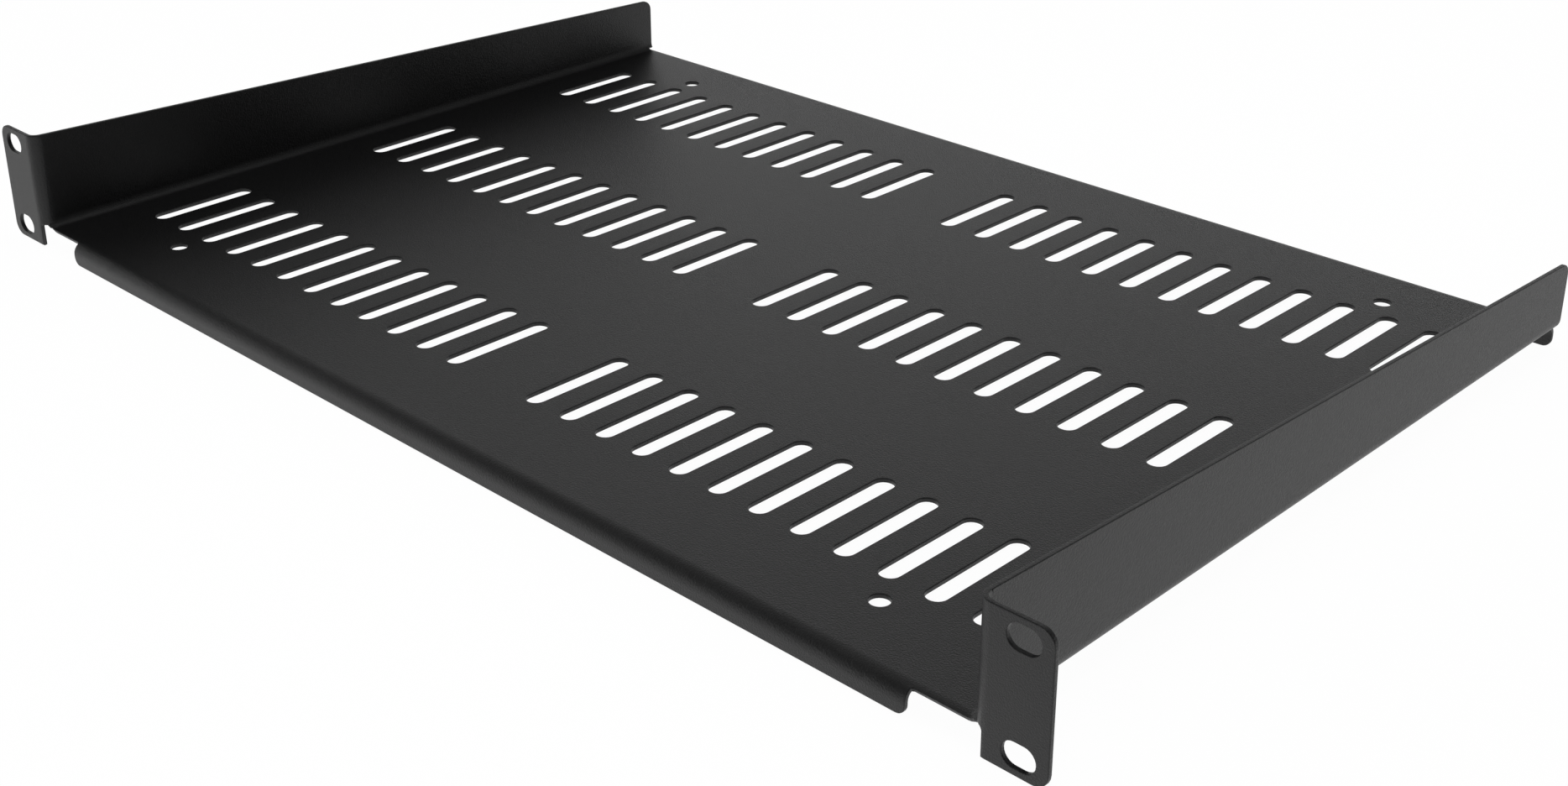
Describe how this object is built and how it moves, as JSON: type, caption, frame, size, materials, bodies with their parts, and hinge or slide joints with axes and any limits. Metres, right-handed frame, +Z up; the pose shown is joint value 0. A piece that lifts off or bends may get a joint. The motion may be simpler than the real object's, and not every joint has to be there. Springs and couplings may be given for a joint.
{
  "type": "cantilever rack shelf",
  "caption": "Vented cantilever shelf for a 19-inch rack, folded from sheet steel: slotted ears in front, side flanges that taper to the back, and lips turned down along front and back.",
  "frame": {"origin": "middle of the four mounting slots, on the back faces of the two ears, where they meet the rack's rails", "axes": "+X across the rack to the right as seen from the front, +Y back into the rack, +Z up"},
  "size_m": [0.4826, 0.3037, 0.0441],
  "materials": {
    "shelf_sheet": "fine-textured satin black powder coat"
  },
  "bodies": {
    "root": {"shelf_sheet": "shelf_sheet"}
  },
  "joints": []
}
